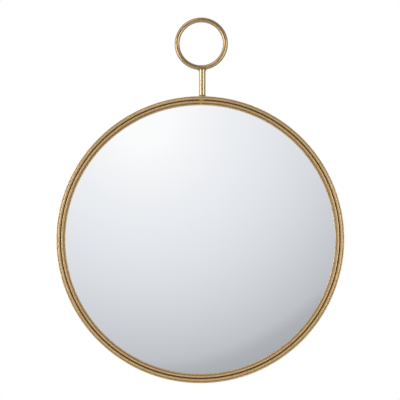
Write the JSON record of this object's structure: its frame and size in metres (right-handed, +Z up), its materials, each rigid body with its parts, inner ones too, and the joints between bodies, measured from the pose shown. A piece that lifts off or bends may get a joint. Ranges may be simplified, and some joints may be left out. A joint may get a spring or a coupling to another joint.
{
  "type": "wall mirror",
  "caption": "Round wall mirror in a gilded angle hoop with two thin rods along its lip, a short stem and a hanging ring on top, and swinging D-ring hangers on its board back.",
  "frame": {"origin": "on the wall plane, behind the centre of the round mirror", "axes": "+X to the right seen from the front, +Y back into the wall, +Z up; the mirror faces -Y"},
  "size_m": [0.5599, 0.0259, 0.7177],
  "materials": {
    "antique_gold": "satin, antiqued gold leaf",
    "mirror_glass": "polished",
    "backing_paint": "matt",
    "black_foam": "matt",
    "fibreboard": "raw",
    "tab_steel": "satin",
    "zinc_screws": "satin zinc",
    "zinc_sheet": "satin zinc",
    "zinc_wire": "satin zinc",
    "bumper_rubber": "matt"
  },
  "bodies": {
    "mirror_body": {"outer_bead_rod": "antique_gold", "inner_bead_rod": "antique_gold", "angle_hoop": "antique_gold", "stem": "antique_gold", "hanging_ring": "antique_gold", "mirror_pane": "mirror_glass", "silver_coat": "backing_paint", "glazing_tape": "black_foam", "foam_sheet": "black_foam", "back_board": "fibreboard", "tab_screws": "zinc_screws", "hanger_screws_left": "zinc_screws", "hanger_screws_right": "zinc_screws", "hanger_strap_left": "zinc_sheet", "hanger_strap_right": "zinc_sheet", "retaining_tab_1": "tab_steel", "retaining_tab_2": "tab_steel", "retaining_tab_3": "tab_steel", "retaining_tab_4": "tab_steel", "retaining_tab_5": "tab_steel", "retaining_tab_6": "tab_steel", "retaining_tab_7": "tab_steel", "retaining_tab_8": "tab_steel", "wall_bumper_1": "bumper_rubber", "wall_bumper_2": "bumper_rubber", "wall_bumper_3": "bumper_rubber", "wall_bumper_4": "bumper_rubber"},
    "d_ring_left": {"d_ring_left": "zinc_wire"},
    "d_ring_right": {"d_ring_right": "zinc_wire"}
  },
  "joints": [
    {"name": "left_d_ring_swing", "type": "hinge", "parent": "mirror_body", "child": "d_ring_left", "pos_m": [-0.19, -0.0032, 0.1], "axis": [1, 0, 0], "range_deg": [0, 175]},
    {"name": "right_d_ring_swing", "type": "hinge", "parent": "mirror_body", "child": "d_ring_right", "pos_m": [0.19, -0.0032, 0.1], "axis": [1, 0, 0], "range_deg": [0, 175]}
  ]
}
